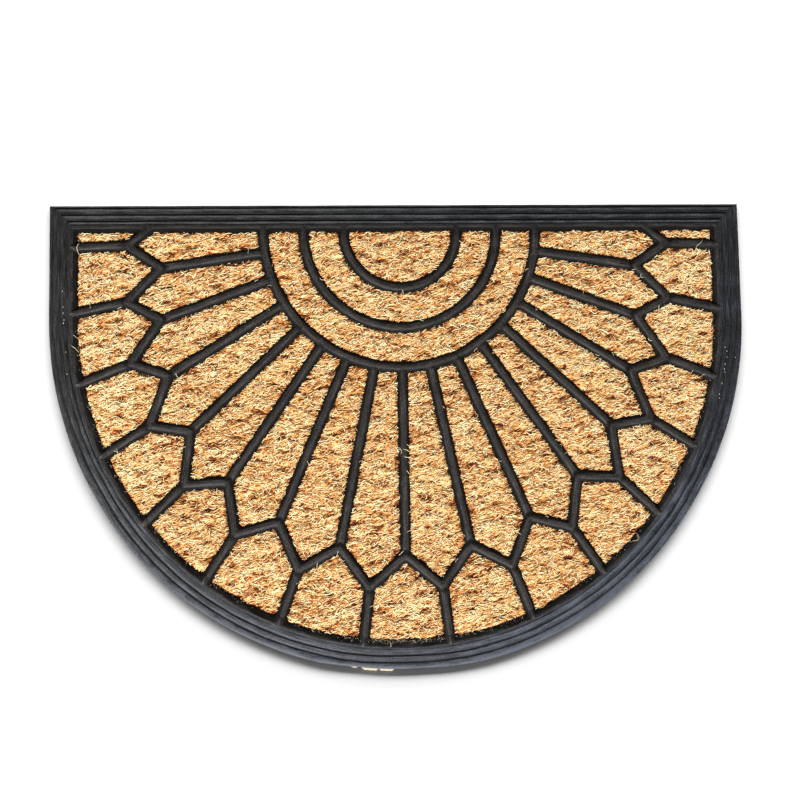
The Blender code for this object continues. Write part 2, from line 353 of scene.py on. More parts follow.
# Rubber: stretch of its streaks, how much each noise adds to the bloom, and to the relief.
STREAK_SCALE = (950.0, 50.0, 1.0)
STREAK_BLOOM = 1.5
GRAIN_BLOOM = 1.1
CLOUD_BLOOM = 0.5
BLOOM_START = -1.55
GRAIN_RELIEF = 0.35
FLOOR_COLOURS = ((0.35, (0.655, 0.655, 0.655)), (0.65, (0.667, 0.667, 0.667)))

# The photograph's eye: its turn and its place. Lights: place, size, power and colour.
EYE_TURN = (
    (0.99840308, 0.01386137, -0.05476449),
    (-0.01775627, 0.99729778, -0.07128708),
    (0.05362837, 0.07214566, 0.99595131),
)
EYE_PLACE = (-0.0495586, -0.0329951, 0.8602849)
SOFT_LIGHT = ((-0.32, -1.2, 3.04), (3.5, 2.6), 50.0, (1.0, 1.0, 1.0))
KEY_LIGHT = ((-0.48, -1.92, 1.92), (0.72, 0.72), 184.0, (1.0, 0.99, 0.97))
BACK_LIGHT = ((0, 6.0, 2.35), (20.0, 2.1), 3750.0, (1.0, 1.0, 1.0))
ROOM_LIGHT = 0.17


def direction(angle):
    return Vector((math.sin(angle), -math.cos(angle)))


def reach(angle, inset):
    """Point where a ray from the fan's centre meets the outline moved in by inset."""
    ray = direction(angle)
    radius = ARC_RADIUS - inset
    start = FAN_CENTRE - ARC_CENTRE
    along = start.dot(ray)
    distance = math.sqrt(along * along - start.length_squared + radius * radius) - along
    point = FAN_CENTRE + distance * ray
    if point.y > ARC_CENTRE.y:
        point = FAN_CENTRE + radius / abs(ray.x) * ray
    return point


def spoke_angle(number):
    return (number - MIDDLE_SPOKE) * SPOKE_STEP


def zigzag_inner(number):
    return reach(spoke_angle(number), ZIGZAG_INNER_INSET)


def zigzag_outer(number):
    return reach(spoke_angle(number + 0.5), ZIGZAG_OUTER_INSET)


def outer_rib_angle(number):
    angle = spoke_angle(number + 0.5)
    return angle + OUTER_RIB_LEAN * math.sin(2 * angle)


def outer_rib_end(number):
    return reach(outer_rib_angle(number), BEAD_INSET)


def branch_point(number, beyond):
    """Point where the zigzag past its first or last outer point runs into the border's bead."""
    start = zigzag_outer(number)
    end = zigzag_inner(beyond)
    share = (BEAD_Y - start.y) / (end.y - start.y)
    return start.lerp(end, share)


def ring_end_angle(radius):
    return math.acos((FAN_CENTRE.y - BEAD_Y) / radius)


def ring_arc(radius, start, end):
    """Points along a ring from one angle to another, each with its corner's radius or 0.

    The ring's two ends are corners, and the points between are kept clear of them.
    """
    margin = math.copysign(CORNER_REACH / radius, end - start)
    span = end - start - 2 * margin
    steps = math.ceil(abs(span) / RING_SAMPLE)
    between = [start + margin + span * step / steps for step in range(steps + 1)]
    points = [(FAN_CENTRE + radius * direction(start), CORNER_RADIUS)]
    for angle in between:
        points.append((FAN_CENTRE + radius * direction(angle), 0))
    points.append((FAN_CENTRE + radius * direction(end), CORNER_RADIUS))
    return points


def ring_openings():
    first = RING_RADII[0]
    openings = [ring_arc(first, -ring_end_angle(first), ring_end_angle(first))]
    for inner, outer in zip(RING_RADII, RING_RADII[1:]):
        outward = ring_arc(outer, -ring_end_angle(outer), ring_end_angle(outer))
        back = ring_arc(inner, ring_end_angle(inner), -ring_end_angle(inner))
        openings.append(outward + back)
    return openings


def sector_opening(number):
    """The long opening between two spokes, pointed where it meets the zigzag."""
    last_ring = RING_RADII[-1]
    start = spoke_angle(number)
    end = spoke_angle(number + 1)
    left = zigzag_inner(number)
    right = zigzag_inner(number + 1)
    if number == 0:
        start = -ring_end_angle(last_ring)
        left = branch_point(0, 0)
    if number == SPOKES:
        end = ring_end_angle(last_ring)
        right = branch_point(SPOKES, SPOKES + 1)
    corners = [left, zigzag_outer(number), right]
    return [(point, CORNER_RADIUS) for point in corners] + ring_arc(last_ring, end, start)


def rim_opening(number):
    """The opening between two outer ribs, from the zigzag to the border."""
    start = outer_rib_angle(number - 1)
    end = outer_rib_angle(number)
    rim = []
    for share in RIM_SAMPLES[1:-1]:
        rim.append((reach(start + (end - start) * share, BEAD_INSET), 0))
    left = [(zigzag_outer(number - 1), CORNER_RADIUS)]
    left.append((outer_rib_end(number - 1), RIM_CORNER_RADIUS))
    right = [(outer_rib_end(number), RIM_CORNER_RADIUS)]
    right += [(point, CORNER_RADIUS) for point in (zigzag_outer(number), zigzag_inner(number))]
    return left + rim + right


def corner_openings():
    """The narrow openings in the two corners beside the straight edge."""
    side = ARC_RADIUS - BEAD_INSET
    left = [branch_point(0, 0), Vector((-side, BEAD_Y)), outer_rib_end(0), zigzag_outer(0)]
    right = [
        zigzag_outer(SPOKES),
        outer_rib_end(SPOKES),
        Vector((side, BEAD_Y)),
        branch_point(SPOKES, SPOKES + 1),
    ]
    return [[(point, SHARP_RADIUS) for point in corner] for corner in (left, right)]


def all_openings():
    openings = ring_openings()
    openings += [sector_opening(number) for number in range(SPOKES + 1)]
    openings += [rim_opening(number) for number in range(1, SPOKES + 1)]
    return openings + corner_openings()


def moved_in(opening, inset):
    """An opening's edge at a distance from the centre lines, with its corners rounded.

    Near the crown of the ribs the corners are tighter than at their foot.
    """
    points = [point for point, radius in opening]
    share = min(1, CROWN_TIGHTNESS + (1 - CROWN_TIGHTNESS) * (inset / RIB_HALF_WIDTH) ** 2)
    loop = []
    for index, (point, radius) in enumerate(opening):
        before = (point - points[index - 1]).normalized()
        after = (points[(index + 1) % len(points)] - point).normalized()
        normal_before = Vector((-before.y, before.x))
        normal_after = Vector((-after.y, after.x))
        middle = (normal_before + normal_after) / (1 + normal_before.dot(normal_after))
        if not radius:
            loop.append(point + inset * middle)
            continue
        radius = inset + (radius - inset) * share
        centre = point + radius * middle
        turn = -normal_before.angle_signed(normal_after)
        for step in range(CORNER_STEPS + 1):
            normal = Matrix.Rotation(turn * step / CORNER_STEPS, 2) @ normal_before
            loop.append(centre - (radius - inset) * normal)
    return loop


def opening_loops(opening, insets):
    """Lines round an opening at several insets, with the same close spacing on each."""
    loops = np.array([[tuple(point) for point in moved_in(opening, inset)] for inset in insets])
    spans = np.linalg.norm(np.roll(loops[0], -1, axis=0) - loops[0], axis=1)
    steps = np.maximum(1, np.round(spans / EDGE_STEP)).astype(int)
    index = np.repeat(np.arange(len(spans)), steps)
    share = np.concatenate([np.arange(count) / count for count in steps])[None, :, None]
    after = (index + 1) % len(spans)
    return loops[:, index] * (1 - share) + loops[:, after] * share


def ripples(points, sizes, seed):
    """Uneven values between about -1 and 1, from crossing waves of several sizes."""
    chance = np.random.default_rng(seed)
    total = np.zeros(len(points))
    for size in sizes:
        for _ in range(3):
            turn, start = chance.uniform(0, 2 * math.pi, 2)
            across = points[:, 0] * math.cos(turn) + points[:, 1] * math.sin(turn)
            total += np.sin(across * 2 * math.pi / size + start)
    return total / math.sqrt(3 * len(sizes))


def smooth_step(values, low, high):
    share = np.clip((values - low) / (high - low), 0, 1)
    return share * share * (3 - 2 * share)


def segment_distance(x, y, start, end):
    """Distance of points from a straight line between two points."""
    run = end - start
    share = ((x - start.x) * run.x + (y - start.y) * run.y) / run.length_squared
    share = np.clip(share, 0, 1)
    return np.hypot(x - start.x - share * run.x, y - start.y - share * run.y)


def zigzag_lines():
    lines = []
    for number in range(1, SPOKES + 1):
        lines.append((zigzag_outer(number - 1), zigzag_inner(number)))
        lines.append((zigzag_inner(number), zigzag_outer(number)))
    lines.append((zigzag_outer(0), branch_point(0, 0)))
    lines.append((zigzag_outer(SPOKES), branch_point(SPOKES, SPOKES + 1)))
    return lines


def spoke_lines():
    start = FAN_CENTRE
    last_ring = RING_RADII[-1]
    numbers = range(1, SPOKES + 1)
    return [(start + last_ring * direction(spoke_angle(n)), zigzag_inner(n)) for n in numbers]


def outer_rib_lines():
    return [(zigzag_outer(number), outer_rib_end(number)) for number in range(SPOKES + 1)]


def line_distance(x, y, lines):
    nearest = np.full(np.shape(x), 1.0)
    for start, end in lines:
        nearest = np.minimum(nearest, segment_distance(x, y, start, end))
    return nearest


def inset_at(x, y):
    """Distance of points in from the outline."""
    from_arc = ARC_RADIUS - np.hypot(x - ARC_CENTRE.x, y - ARC_CENTRE.y)
    from_side = ARC_RADIUS - np.abs(x)
    return np.minimum(np.where(y < ARC_CENTRE.y, from_arc, from_side), STRAIGHT_EDGE_Y - y)


def rib_distance(x, y):
    """Distance of points from the nearest rib's or bead's centre line."""
    nearest = np.abs(inset_at(x, y) - BEAD_INSET)
    from_fan = np.hypot(x - FAN_CENTRE.x, y - FAN_CENTRE.y)
    for radius in RING_RADII:
        nearest = np.minimum(nearest, np.abs(from_fan - radius))
    lines = zigzag_lines() + spoke_lines() + outer_rib_lines()
    return np.minimum(nearest, line_distance(x, y, lines))


def notch(points):
    """Depth of the grooves where a spoke or an outer rib runs into the ribs it ends at."""
    x, y = points[:, 0], points[:, 1]
    from_zigzag = line_distance(x, y, zigzag_lines())
    from_ring = np.abs(np.hypot(x - FAN_CENTRE.x, y - FAN_CENTRE.y) - RING_RADII[-1])
    from_spoke = line_distance(x, y, spoke_lines())
    from_outer = line_distance(x, y, outer_rib_lines())
    on_spoke = np.exp(-((from_spoke / NOTCH_HALF_WIDTH) ** 4))
    on_outer = np.exp(-((from_outer / NOTCH_HALF_WIDTH) ** 4))
    place, spread = ZIGZAG_NOTCH_PLACE
    at_zigzag = np.exp(-(((from_zigzag - place) / spread) ** 2))
    place, spread = RING_NOTCH_PLACE
    at_ring = np.exp(-(((from_ring - place) / spread) ** 2))
    deep = SPOKE_NOTCH * on_spoke * at_zigzag
    return deep + RING_NOTCH * (on_spoke * at_ring + on_outer * at_zigzag)


def float_tables():
    """How far each float of the weave strays: place, tilt, size, height and tone."""
    chance = np.random.default_rng(7)
    tables = chance.normal(0, 1, (len(FLOAT_SPREAD),) + FLOAT_TABLE)
    return tables * np.array(FLOAT_SPREAD)[:, None, None]


FLOATS = float_tables()


def weave(x, y):
    """Rise of the nearest float (0 to 1), place on it, its tilt and its tone, at points."""
    rise = np.full(x.shape, -1.0)
    along, across, tilt, tone = (np.zeros(x.shape) for _ in range(4))
    level = y - ROW_RISE * x
    shifted = x - COLUMN_LEAN * y
    for neighbour in (-1, 0, 1):
        row = np.round(level / ROW_PITCH).astype(int) + neighbour
        start = (row % 2) * 0.5 + REPEAT_START
        column = np.round(shifted / REPEAT - start).astype(int)
        stray = FLOATS[:, row % FLOAT_TABLE[0], column % FLOAT_TABLE[1]]
        from_x = shifted - (column + start) * REPEAT - stray[0]
        from_y = level - row * ROW_PITCH - stray[1]
        turn = FLOAT_TILT + stray[2]
        size = 1 + stray[3]
        u = (from_x * np.cos(turn) + from_y * np.sin(turn)) / (FLOAT_HALF_LENGTH * size)
        v = (from_y * np.cos(turn) - from_x * np.sin(turn)) / (FLOAT_HALF_WIDTH * size)
        dome = np.sqrt(np.maximum(1 - (u * u + v * v) ** FLOAT_ROUNDNESS, 0))
        bump = dome + stray[4] / CREST_RISE
        higher = bump > rise
        rise = np.where(higher, bump, rise)
        along = np.where(higher, u, along)
        across = np.where(higher, v, across)
        tilt = np.where(higher, turn, tilt)
        tone = np.where(higher, stray[5], tone)
    return rise, along, across, tilt, tone


def pad_height(x, y):
    """Height of the woven coir, which sinks a little towards the ribs that press on it."""
    rise = weave(x, y)[0]
    free = np.clip((rib_distance(x, y) - RIB_HALF_WIDTH) / PAD_EDGE_REACH, 0, 1)
    sag = PAD_EDGE_DROP * (1 - free) ** 2
    return VALLEY + CREST_RISE * np.maximum(rise, 0) - sag


def new_object(name, mesh, finish):
    mesh.materials.append(finish)
    mesh.shade_smooth()
    built = bpy.data.objects.new(name, mesh)
    bpy.context.scene.collection.objects.link(built)
    return built


def set_attribute(mesh, name, values):
    layer = mesh.attributes.new(name, "FLOAT", "POINT")
    layer.data.foreach_set("value", np.ascontiguousarray(values, dtype=np.float32))


def add_wall(faces, lower, upper):
    """Faces between two closed lines of points, given by their numbers."""
    lower_next = np.roll(lower, -1)
    upper_next = np.roll(upper, -1)
    faces += np.stack([lower, lower_next, upper_next, upper], axis=1).tolist()


def add_strip(faces, rings):
    """Faces of a strip through rings of points, closed at both its ends."""
    for ring, following in zip(rings, rings[1:]):
        add_wall(faces, ring, following)
    faces += [rings[0].tolist(), rings[-1].tolist()]


def fill_flat(mesh, loops):
    """A flat face inside the first closed line of points and outside the others."""
    mesh.verts.ensure_lookup_table()
    edges = []
    for loop in loops:
        for index, vert in enumerate(loop):
            edges.append(mesh.edges.get((mesh.verts[vert], mesh.verts[loop[index - 1]])))
    bmesh.ops.triangle_fill(mesh, use_beauty=False, use_dissolve=False, edges=edges)


def closed_mesh(name, places, faces, flats=()):
    """A mesh of points and faces, with a flat face for each set of lines, facing outwards."""
    data = bpy.data.meshes.new(name)
    data.from_pydata(places, [], faces)
    mesh = bmesh.new()
    mesh.from_mesh(data)
    for loops in flats:
        fill_flat(mesh, [loop.tolist() for loop in loops])
    bmesh.ops.recalc_face_normals(mesh, faces=mesh.faces)
    mesh.to_mesh(data)
    mesh.free()
    return data


def border_places():
    """Points round the outline, counter-clockwise from its top left corner.

    With each point go its inward direction, its angle round the arc, and whether it is on a
    side (0), on the arc (1) or on the straight edge (2).
    """
    angles = np.linspace(-math.pi / 2, math.pi / 2, ARC_STEPS + 1)
    bend = np.stack([np.sin(angles), -np.cos(angles)], axis=1)
    down = np.linspace(STRAIGHT_EDGE_Y, ARC_CENTRE.y, SIDE_STEPS, endpoint=False)
    across = np.linspace(ARC_RADIUS, -ARC_RADIUS, TOP_STEPS + 2)[1:-1]
    right = np.append(down[:0:-1], STRAIGHT_EDGE_Y)
    points = np.concatenate([
        np.stack([np.full(SIDE_STEPS, -ARC_RADIUS), down], axis=1),
        np.array(ARC_CENTRE) + ARC_RADIUS * bend,
        np.stack([np.full(SIDE_STEPS, ARC_RADIUS), right], axis=1),
        np.stack([across, np.full(TOP_STEPS, STRAIGHT_EDGE_Y)], axis=1),
    ])
    counts = (SIDE_STEPS, ARC_STEPS + 1, SIDE_STEPS, TOP_STEPS)
    inward = np.repeat(((1.0, 0.0), (0.0, 0.0), (-1.0, 0.0), (0.0, -1.0)), counts, axis=0)
    inward[SIDE_STEPS:SIDE_STEPS + ARC_STEPS + 1] = -bend
    around = np.repeat((-math.pi / 2, 0.0, math.pi / 2, math.pi), counts)
    around[SIDE_STEPS:SIDE_STEPS + ARC_STEPS + 1] = angles
    return points, inward, around, np.repeat((0, 1, 0, 2), counts)


def moved_outline(inset):
    """The outline moved in by its inset at each point, with its two corners kept square."""
    points, inward, _, part = border_places()
    moved = points + inward * inset[:, None]
    straight, side = part == 2, part == 0
    top = STRAIGHT_EDGE_Y - inset[straight].mean()
    moved[side, 1] = np.interp(points[side, 1], (ARC_CENTRE.y, STRAIGHT_EDGE_Y), (ARC_CENTRE.y, top))
    ends = inset[0] - ARC_RADIUS, ARC_RADIUS - inset[2 * SIDE_STEPS + ARC_STEPS]
    moved[straight, 0] = np.interp(points[straight, 0], (-ARC_RADIUS, ARC_RADIUS), ends)
    return moved


def on_circle(radius, turn):
    """Places on a circle round the arc's centre, by angle."""
    return radius * np.sin(turn), ARC_CENTRE.y - radius * np.cos(turn)


def turn_round_arc(x, y):
    """Angle of points round the arc, in degrees, staying at 90 beside the sides."""
    return np.degrees(np.arctan2(x, np.maximum(ARC_CENTRE.y - y, 0)))


def border_stray(points, shifts, straight_shift):
    """How far points by the border lie from their places in the solids."""
    x, y = points[:, 0], points[:, 1]
    down = np.minimum(y - ARC_CENTRE.y, 0)
    radius = np.maximum(np.hypot(x, down), 1e-6)
    shift = np.interp(turn_round_arc(x, y), BORDER_ANGLES, shifts) / 1000
    shift *= 1 - smooth_step(ARC_RADIUS - radius, *SHIFT_FADE)
    stray = -np.column_stack([x, down]) * (shift / radius)[:, None]
    stray[:, 1] -= straight_shift / 1000 * (1 - smooth_step(STRAIGHT_EDGE_Y - y, *SHIFT_FADE))
    return stray


def border_levels():
    """The border's lines from its foot up to its bead: points, height, and tone with painted light and shade
    along each.
    """
    points, _, around, part = border_places()
    ones = np.ones(len(points))
    angle = np.degrees(around)
    on_arc = part < 2

    def by_angle(angles, values, straight=0):
        """Values by angle along the sides and the arc, and one on the straight edge."""
        return np.where(on_arc, np.interp(angle, angles, values), straight)

    fine = RIM_WAVE * ripples(points, RIM_RIPPLES, 30)
    rim = by_angle(RIM_ANGLES, RIM_REACH) / 1000
    rim_painted = by_angle(PAINTED_LIGHT_ANGLES, RIM_PAINTED_LIGHT)
    for inset, height, tone_and_painted_light in FOOT_SECTION:
        moved = inset * ones if inset > 0.01 else inset + fine - rim
        yield moved_outline(moved), height * ones, tone_and_painted_light + (tone_and_painted_light > 0.3) * rim_painted
    # Painted light and shade on the steps: a highlight that moves across each step by angle, paler on the
    # arc, darker at its foot.
    shallow = np.where(on_arc, 1 - smooth_step(np.abs(angle), *SHALLOW_FADE), 1)
    inner = np.where(on_arc, smooth_step(angle, *INNER_FADE), 0)
    outer = np.where(on_arc, 1 - smooth_step(angle, *OUTER_FADE), 1)
    weight = np.stack([outer, 1 - outer - inner, inner])
    at_foot = np.exp(-((angle / FOOT_WIDTH) ** 2)) * on_arc
    pale = np.where(on_arc, (STEP_PAINTED_LIGHT - FOOT_PAINTED_SHADE * at_foot) * shallow, 1)
    pale = pale + SIDE_STEP_PAINTED_LIGHT * (1 - shallow)
    straight_shade = -STRAIGHT_PAINTED_SHADE * smooth_step(points[:, 0], *STRAIGHT_FADE)
    paleness = by_angle(PAINTED_LIGHT_ANGLES, PAINTED_LIGHT, straight_shade)
    base = BORDER_BASE_TONE + ARC_PAINTED_LIGHT * np.where(on_arc, shallow, 0) + paleness
    shift = by_angle(BORDER_ANGLES, BEAD_SHIFTS) / 1000
    shift = np.where(shift < 0, 0.4 * shift, shift)
    for index, (straight, low, high) in enumerate(CREASES):
        slow = sum(wave * ripples(points, sizes, seed + index) for wave, sizes, seed in CREASE_WAVES)
        place = by_angle(BORDER_ANGLES, np.divide(CREASE_INSETS[index], 1000), straight)
        cut = by_angle(CUT_ANGLES, CUT, 1) if index == 2 else ones
        for distance, sunk, rise, *side_paint in CREASE_SECTION:
            depth = CREASE_DEPTH * sunk * (0.35 + 0.65 * shallow) * cut
            most = INNER_CREASE_LIMIT + shift + 0.0001 * rise + distance / 10
            tone_and_painted_light = base + pale * (cut * (np.array(side_paint) @ weight) + 0.6 * (1 - cut) - 0.5)
            if index == 0 and distance < -0.0006:
                tone_and_painted_light = tone_and_painted_light + 0.6 * rim_painted
            inset = np.minimum(place + distance + slow, most)
            yield moved_outline(inset), low + (high - low) * rise - depth, tone_and_painted_light
    for inset, height, tone_and_painted_light in BEAD_SECTION:
        yield moved_outline(inset + shift), height * ones, tone_and_painted_light + 0.5 * paleness


def rubber_moulding(finish):
    """The stepped border and every rib, as one moulding with rounded crowns, ragged edges, and painted light
    and shade in its tone.
    """
    places, lanes, walls = [], [], []

    def add_line(points, height, across, along, tone_and_painted_light):
        """Add a closed line, and give the numbers of its points."""
        first = sum(len(block) for block in places)
        ones = np.ones(len(points))
        places.append(np.column_stack([points, height * ones]))
        lanes.append(np.column_stack([across * ones, along, tone_and_painted_light]))
        return np.arange(first, first + len(points))

    outline = border_places()[0]
    run = np.cumsum(np.linalg.norm(np.roll(outline, 1, axis=0) - outline, axis=1))
    border = []
    for points, height, tone_and_painted_light in border_levels():
        from_edge = np.linalg.norm(points - outline, axis=1)
        border.append(add_line(points, height, from_edge, run, tone_and_painted_light))
    walls.append(border)
    inner_shifts = np.where(np.less(BEAD_SHIFTS, 0), 0.6, 1) * BEAD_SHIFTS
    for opening in all_openings():
        loops = opening_loops(opening, [row[0] for row in RIB_SECTION])
        inward = loops[0] - loops[-1]
        inward /= np.linalg.norm(inward, axis=1)[:, None]
        rough = ripples(loops[0], RIB_RIPPLES, 50)
        spill = spilled_rubber(loops[0]) + wavy_bead(loops[0])
        crown_shift = border_stray(loops[0], BEAD_SHIFTS, 0)
        inner_shift = border_stray(loops[0], inner_shifts, 0)
        foot_shift = border_stray(loops[0], FLANK_SHIFTS, STRAIGHT_FLANK_SHIFT)
        along = np.arange(len(rough)) * EDGE_STEP
        # The ribs are made darker beside the straight edge, and painted shade darkens them in the grooves
        # where ribs meet.
        top_darkening = TOP_DARKENING * smooth_step(loops[0][:, 1], *TOP_FADE)
        levels = []
        for row, line in zip(RIB_SECTION, loops):
            half, height, waver, tone_and_painted_light, spilled, at_foot = row
            push = waver * rough + spill * spilled
            crown = inner_shift if row is RIB_SECTION[-1] else crown_shift
            shift = at_foot * foot_shift + (1 - at_foot) * crown
            dip = notch(line) * (half < RIB_HALF_WIDTH)
            # Painted shade on the flanks and a painted highlight on the crown, from the section's tone.
            shaded_tone = (tone_and_painted_light - top_darkening) * np.clip(1 - dip / GROOVE_SHADE_DEPTH, 0, 1)
            points = line + inward * np.reshape(push, (-1, 1)) + shift
            levels.append(add_line(points, height - dip, RIB_LANE + half, along, shaded_tone))
        walls.append(levels)
    faces = []
    for levels in walls:
        for lower, upper in zip(levels, levels[1:]):
            add_wall(faces, lower, upper)
    tips, tip_lanes, tip_faces = rib_tips()
    count = sum(len(block) for block in places)
    faces += [[corner + count for corner in face] for face in tip_faces]
    flats = [levels[0] for levels in walls], [levels[-1] for levels in walls]
    data = closed_mesh("moulded_rubber", np.concatenate(places + [tips]).tolist(), faces, flats)
    for name, values in zip(("across", "along", "tone_and_painted_light"), np.concatenate(lanes + [tip_lanes]).T):
        set_attribute(data, name, values)
    return new_object("moulded_rubber", data, finish)


def rib_tips():
    """Points, across, along and tone with painted light, and faces, of the ends of the outer ribs."""
    places, lanes, faces = [], [], []
    for number in range(SPOKES + 1):
        angle = outer_rib_angle(number)
        turn = turn_round_arc(*reach(angle, BEAD_INSET))
        shift = float(np.interp(turn, BORDER_ANGLES, BEAD_SHIFTS)) / 1000
        end = TIP_REACH[1] + 0.8 * shift
        ahead = (reach(angle, end) - reach(angle, TIP_REACH[0])).normalized()
        aside = Vector((-ahead.y, ahead.x))
        rings = []
        side, drop, shoulder_share = TIP_SHOULDER
        for share, half, crest, tone_and_painted_light in TIP_SECTION:
            middle = reach(angle, TIP_REACH[0] + share * (end - TIP_REACH[0]))
            # Painted highlight along the crest, weaker on the shoulders.
            profile = (
                (-half, TIP_FOOT, 0.0), (-side * half, crest - drop, shoulder_share * tone_and_painted_light), (0.0, crest, tone_and_painted_light),
                (side * half, crest - drop, shoulder_share * tone_and_painted_light), (half, TIP_FOOT, 0.0),
            )
            rings.append(np.arange(len(places), len(places) + len(profile)))
            for across, height, shaded_tone in profile:
                point = middle + across * aside
                places.append((point.x, point.y, height))
                lanes.append((TIP_LANE + across, number + 0.01 * share, shaded_tone))
        add_strip(faces, rings)
    return np.array(places), np.array(lanes), faces


def wavy_bead(points):
    """The uneven line in which the border's bead meets the coir."""
    near = 1 - smooth_step(inset_at(*points.T), *BEAD_WAVE_FADE)
    return near * BEAD_WAVE * ripples(points, BEAD_RIPPLES, 61)


def spilled_rubber(points):
    """Rubber that ran past the bead onto the coir at the middle of the arc."""
    middle, spread = SPILL_X
    near = np.exp(-((points[:, 0] - middle) / spread) ** 2) * (points[:, 1] < SPILL_BELOW_Y)
    return near * np.clip(SPILL + SPILL * ripples(points, SPILL_RIPPLES, 60), 0, None)


def inside(points, loop):
    """Which points lie inside a closed line."""
    x, y = points[:, :1], points[:, 1:]
    x0, y0 = loop[:, 0], loop[:, 1]
    x1, y1 = np.roll(x0, -1), np.roll(y0, -1)
    crossing = (y0 > y) != (y1 > y)
    reached = x0 + (y - y0) / np.where(y1 == y0, 1e-12, y1 - y0) * (x1 - x0)
    return (crossing & (x < reached)).sum(axis=1) % 2 == 1


def grid_points():
    """Staggered points over the mat, clear of the ribs."""
    side, end = GRID_CORNER
    rows = np.arange(-end, end, GRID_STEP * 0.866)
    columns = np.arange(-side, side, GRID_STEP)
    x, y = np.meshgrid(columns, rows)
    x = x + (np.arange(len(rows)) % 2)[:, None] * GRID_STEP / 2
    points = np.stack([x.ravel(), y.ravel()], axis=1)
    return points[rib_distance(*points.T) > PAD_INSET + GRID_CLEARANCE]


def woven_coir(finish):
    """The coir panel: thin under the rubber, with a woven pad raised in each opening."""
    grid = grid_points()
    edge = moved_outline(np.full(len(border_places()[0]), PANEL_EDGE_INSET))
    places = [
        np.column_stack([edge, np.zeros(len(edge))]),
        np.column_stack([edge, np.full(len(edge), PANEL_THICKNESS)]),
    ]
    lower = np.arange(len(edge))
    upper = lower + len(edge)
    faces = []
    add_wall(faces, lower, upper)
    sheet = [upper]
    count = 2 * len(edge)
    for opening in all_openings():
        loop = opening_loops(opening, [PAD_INSET])[0]
        loop = loop + border_stray(loop, FLANK_SHIFTS, STRAIGHT_FLANK_SHIFT)
        low, high = loop.min(axis=0), loop.max(axis=0)
        near = grid[((grid > low) & (grid < high)).all(axis=1)]
        points = np.concatenate([loop, near[inside(near, loop)]])
        ring = [(index, (index + 1) % len(loop)) for index in range(len(loop))]
        flat = [Vector(point) for point in (points * 1000).tolist()]
        made, _, triangles, origins, _, _ = delaunay_2d_cdt(flat, ring, [], 1, 1e-4)
        corners = np.array([tuple(point) for point in made]) / 1000
        at = {source: index for index, sources in enumerate(origins) for source in sources}
        rim = np.array([at[index] for index in range(len(loop))]) + count
        top = np.column_stack([corners, pad_height(*corners.T)])
        places.append(top)
        faces += [[corner + count for corner in triangle] for triangle in triangles]
        count += len(top)
        foot = np.arange(count, count + len(loop))
        places.append(np.column_stack([loop, np.full(len(loop), PANEL_THICKNESS)]))
        count += len(loop)
        add_wall(faces, foot, rim)
        sheet.append(foot)
    data = closed_mesh("woven_coir", np.concatenate(places).tolist(), faces, ([lower], sheet))
    heights = np.array([vert.co.z for vert in data.vertices])
    set_attribute(data, "rise", np.clip((heights - VALLEY) / CREST_RISE, 0, 1))
    return new_object("woven_coir", data, finish)


def strands(name, path, radius, tone, finish, edge=FIBRE_EDGE_PAINTED_SHADE):
    """Three-sided tapered strands along rows of points, as one mesh, with painted light on top and painted
    shade at their edges.
    """
    count, steps, _ = path.shape
    tangent = np.gradient(path, axis=1)
    tangent /= np.linalg.norm(tangent, axis=2, keepdims=True)
    side = np.stack([-tangent[..., 1], tangent[..., 0], np.zeros((count, steps))], axis=-1)
    side /= np.linalg.norm(side, axis=2, keepdims=True)
    up = np.cross(tangent, side)
    taper = np.interp(np.linspace(0, 1, steps), (0, 0.2, 0.8, 1), (0.45, 1, 1, 0.45))
    width = radius[:, None, None] * taper[None, :, None]
    corners = []
    for turn in np.radians((90, 210, 330)):
        corners.append(path + width * (math.cos(turn) * side + math.sin(turn) * up))
    places = np.stack(corners, axis=2).reshape(-1, 3)
    first = np.arange(count * steps).reshape(count, steps) * 3
    here, there = first[:, :-1].ravel(), first[:, 1:].ravel()
    quads = np.concatenate([
        np.stack([here + c, here + (c + 1) % 3, there + (c + 1) % 3, there + c], axis=1)
        for c in range(3)
    ])
    begin, end = first[:, 0], first[:, -1]
    caps = np.concatenate([
        np.stack([begin, begin + 2, begin + 1], axis=1),
        np.stack([end, end + 1, end + 2], axis=1),
    ])
    data = bpy.data.meshes.new(name)
    data.from_pydata(places.tolist(), [], quads.tolist() + caps.tolist())
    # Painted light along each strand's top corner and painted shade on its two lower corners.
    edges = np.tile((FIBRE_TOP_PAINTED_LIGHT, edge, edge), count * steps)
    set_attribute(data, "tone", np.repeat(tone, steps * 3) + edges)
    return new_object(name, data, finish)


def past_flank(x, y):
    """Distance of points in from the foot of the bead's inner flank."""
    down = np.minimum(y - ARC_CENTRE.y, 0)
    foot = BEAD_INSET + RIB_HALF_WIDTH
    shift = np.interp(turn_round_arc(x, y), BORDER_ANGLES, FLANK_SHIFTS) / 1000
    from_arc = ARC_RADIUS - np.hypot(x, down) - foot - shift
    return np.minimum(from_arc, STRAIGHT_EDGE_Y - y - foot - STRAIGHT_FLANK_SHIFT / 1000)


def scattered(number, chance):
    """Places spread unevenly over the coir, just reaching under the ribs."""
    kept = np.zeros((0, 2))
    while len(kept) < number:
        places = chance.uniform(*FIBRE_FIELD, (number, 2))
        free = (rib_distance(*places.T) > FIBRE_CLEARANCE) & (past_flank(*places.T) > 0.0)
        kept = np.concatenate([kept, places[free]])
    return kept[:number]


def hair_paths(x, y, turned, stride):
    """Points along hairs centred on places, from each step's direction and length."""
    run_x = np.cumsum(np.cos(turned) * stride, axis=1)
    run_y = np.cumsum(np.sin(turned) * stride, axis=1)
    px = x[:, None] + run_x - run_x.mean(axis=1, keepdims=True)
    py = y[:, None] + run_y - run_y.mean(axis=1, keepdims=True)
    return px, py


